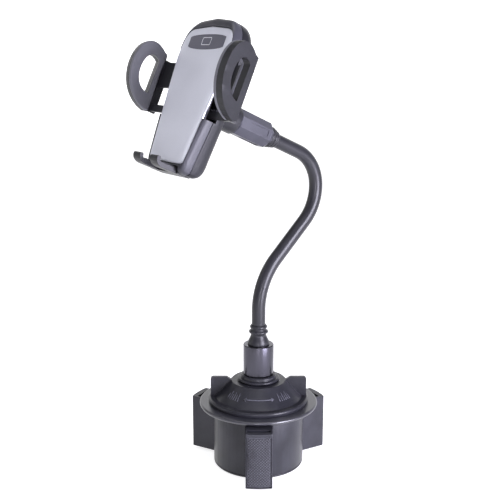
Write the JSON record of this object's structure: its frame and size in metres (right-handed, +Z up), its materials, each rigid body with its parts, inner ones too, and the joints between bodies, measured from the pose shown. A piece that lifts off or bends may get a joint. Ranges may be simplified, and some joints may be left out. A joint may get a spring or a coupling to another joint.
{
  "type": "car phone mount",
  "caption": "Cup-holder phone mount: a dial-expanded round base with three sliding wings, a bent gooseneck, a ball joint and a rack-and-pinion clamp cradle with two feet.",
  "frame": {"origin": "centre of the foot pad's underside, on the body's axis", "axes": "+Z up along the body's axis, the cradle faces -Y, +X to the right of someone who looks at the phone's screen"},
  "size_m": [0.1206, 0.1499, 0.3263],
  "materials": {
    "charcoal_plastic": "satin",
    "dial_plastic": "satin",
    "black_rubber": "matte",
    "pad_rubber": "diamond hatch",
    "gunmetal": "polished",
    "neck_sleeve": "satin",
    "spring_steel": "wound wire",
    "steel": "machined",
    "nut_plastic": "satin",
    "ball_plastic": "polished",
    "cradle_plastic": "satin",
    "shell_plastic": "satin",
    "silver_plate": "satin",
    "badge_plastic": "satin",
    "arm_plastic": "satin",
    "jaw_rubber": "matte",
    "foot_rubber": "ribbed",
    "gear_nylon": "satin",
    "button_plastic": "satin"
  },
  "bodies": {
    "base": {"base_body": "charcoal_plastic", "base_floor": "charcoal_plastic", "foot_pad": "black_rubber", "floor_screws": "steel", "flange_cover": "charcoal_plastic", "centre_post": "charcoal_plastic", "collar_ring": "charcoal_plastic", "lower_ferrule": "gunmetal", "lower_boot": "black_rubber", "neck_sleeve_0": "neck_sleeve", "neck_core_0": "spring_steel"},
    "dial": {"dial_cap": "dial_plastic", "cam_disc": "gear_nylon", "dial_screws": "steel"},
    "wing_1": {"wing_shell_1": "charcoal_plastic", "wing_pad_1": "pad_rubber", "follower_pin_1": "steel"},
    "wing_2": {"wing_shell_2": "charcoal_plastic", "wing_pad_2": "pad_rubber", "follower_pin_2": "steel"},
    "wing_3": {"wing_shell_3": "charcoal_plastic", "wing_pad_3": "pad_rubber", "follower_pin_3": "steel"},
    "neck_1": {"neck_sleeve_1": "neck_sleeve", "neck_core_1": "spring_steel"},
    "neck_2": {"neck_sleeve_2": "neck_sleeve", "neck_core_2": "spring_steel"},
    "neck_3": {"neck_sleeve_3": "neck_sleeve", "neck_core_3": "spring_steel"},
    "neck_4": {"neck_sleeve_4": "neck_sleeve", "neck_core_4": "spring_steel"},
    "neck_5": {"neck_sleeve_5": "neck_sleeve", "neck_core_5": "spring_steel"},
    "neck_6": {"neck_sleeve_6": "neck_sleeve", "neck_core_6": "spring_steel"},
    "neck_head": {"neck_sleeve_7": "neck_sleeve", "neck_core_7": "spring_steel", "upper_collar": "black_rubber", "ball_socket": "arm_plastic"},
    "nut": {"ball_nut": "nut_plastic"},
    "ball": {"ball": "ball_plastic"},
    "ball_core": {"ball_core": "steel"},
    "cradle": {"ball_stud": "steel", "rear_shell": "shell_plastic", "front_frame": "cradle_plastic", "shell_screws": "steel", "face_plate": "silver_plate", "badge": "badge_plastic", "pinion_spring": "spring_steel", "button_spring": "spring_steel"},
    "left_arm": {"arm_left": "arm_plastic", "jaw_pad_left": "jaw_rubber"},
    "right_arm": {"arm_right": "arm_plastic", "jaw_pad_right": "jaw_rubber"},
    "pinion": {"pinion": "gear_nylon"},
    "release": {"release_button": "button_plastic", "latch_pawl": "steel"},
    "feet": {"foot_carriage": "arm_plastic", "foot_pads": "foot_rubber"}
  },
  "joints": [
    {"name": "dial_turn", "type": "hinge", "parent": "base", "child": "dial", "pos_m": [0, 0, 0.0488], "axis": [0, 0, 1], "range_deg": [0, 120]},
    {"name": "wing_1_slide", "type": "slide", "parent": "base", "child": "wing_1", "axis": [0.809, -0.5878, 0], "range_m": [-0.01605, 0]},
    {"name": "wing_2_slide", "type": "slide", "parent": "base", "child": "wing_2", "axis": [0.1045, 0.9945, 0], "range_m": [-0.01605, 0]},
    {"name": "wing_3_slide", "type": "slide", "parent": "base", "child": "wing_3", "axis": [-0.9135, -0.4067, 0], "range_m": [-0.01605, 0]},
    {"name": "neck_low_bend", "type": "hinge", "parent": "base", "child": "neck_1", "pos_m": [0, 0, 0.1176], "axis": [1, 0, 0], "range_deg": [-12, 12]},
    {"name": "neck_side_bend", "type": "hinge", "parent": "neck_1", "child": "neck_2", "pos_m": [0, 0.00413, 0.13792], "axis": [0, 0.9205, -0.3907], "range_deg": [-12, 12]},
    {"name": "neck_low_bend_2", "type": "hinge", "parent": "neck_2", "child": "neck_3", "pos_m": [0, 0.01588, 0.15501], "axis": [1, 0, 0], "range_deg": [-12, 12]},
    {"name": "neck_side_bend_2", "type": "hinge", "parent": "neck_3", "child": "neck_4", "pos_m": [0, 0.04177, 0.18001], "axis": [0, 0.6947, -0.7193], "range_deg": [-12, 12]},
    {"name": "neck_high_bend", "type": "hinge", "parent": "neck_4", "child": "neck_5", "pos_m": [0, 0.05277, 0.20591], "axis": [1, 0, 0], "range_deg": [-12, 12]},
    {"name": "neck_side_bend_3", "type": "hinge", "parent": "neck_5", "child": "neck_6", "pos_m": [0, 0.04809, 0.2217], "axis": [0, 0.8387, 0.5446], "range_deg": [-12, 12]},
    {"name": "neck_high_bend_2", "type": "hinge", "parent": "neck_6", "child": "neck_head", "pos_m": [0, 0.03556, 0.2324], "axis": [1, 0, 0], "range_deg": [-12, 12]},
    {"name": "nut_turn", "type": "hinge", "parent": "neck_head", "child": "nut", "pos_m": [0, -0.02181, 0.25794], "axis": [0, 0.9135, -0.4067], "range_deg": [0, 270]},
    {"name": "cradle_roll", "type": "hinge", "parent": "neck_head", "child": "ball", "pos_m": [0, -0.03003, 0.26161], "axis": [0, 0.9135, -0.4067], "continuous": true},
    {"name": "cradle_tilt", "type": "hinge", "parent": "ball", "child": "ball_core", "pos_m": [0, -0.03003, 0.26161], "axis": [1, 0, 0], "range_deg": [-18, 18]},
    {"name": "cradle_pan", "type": "hinge", "parent": "ball_core", "child": "cradle", "pos_m": [0, -0.03003, 0.26161], "axis": [0, 0.4067, 0.9135], "range_deg": [-18, 18]},
    {"name": "clamp_close", "type": "slide", "parent": "cradle", "child": "left_arm", "axis": [1, 0, 0], "range_m": [0, 0.0165]},
    {"name": "right_arm_slide", "type": "slide", "parent": "cradle", "child": "right_arm", "axis": [1, 0, 0], "range_m": [-0.01655, 0]},
    {"name": "pinion_spin", "type": "hinge", "parent": "cradle", "child": "pinion", "pos_m": [0, -0.05632, 0.27386], "axis": [0, 0.9135, -0.4067], "range_deg": [-1, 172.89], "deforming": ["pinion_spring"]},
    {"name": "release_press", "type": "slide", "parent": "cradle", "child": "release", "axis": [0, -0.9135, 0.4067], "range_m": [0, 0.0018], "stiffness_N_per_m": 400, "springref_m": -0.0015, "deforming": ["button_spring"]},
    {"name": "feet_slide", "type": "slide", "parent": "cradle", "child": "feet", "axis": [0, -0.4067, -0.9135], "range_m": [0, 0.014]}
  ],
  "couplings": [
    {"joint": "wing_1_slide", "follows": "dial_turn", "m_per_rad": -0.0076394},
    {"joint": "wing_2_slide", "follows": "dial_turn", "m_per_rad": -0.0076394},
    {"joint": "wing_3_slide", "follows": "dial_turn", "m_per_rad": -0.0076394},
    {"joint": "neck_low_bend_2", "follows": "neck_low_bend", "ratio": 1},
    {"joint": "neck_high_bend_2", "follows": "neck_high_bend", "ratio": 1},
    {"joint": "neck_side_bend_2", "follows": "neck_side_bend", "ratio": 1},
    {"joint": "neck_side_bend_3", "follows": "neck_side_bend", "ratio": 1},
    {"joint": "right_arm_slide", "follows": "clamp_close", "ratio": -1},
    {"joint": "pinion_spin", "follows": "clamp_close", "rad_per_m": 181.82}
  ]
}
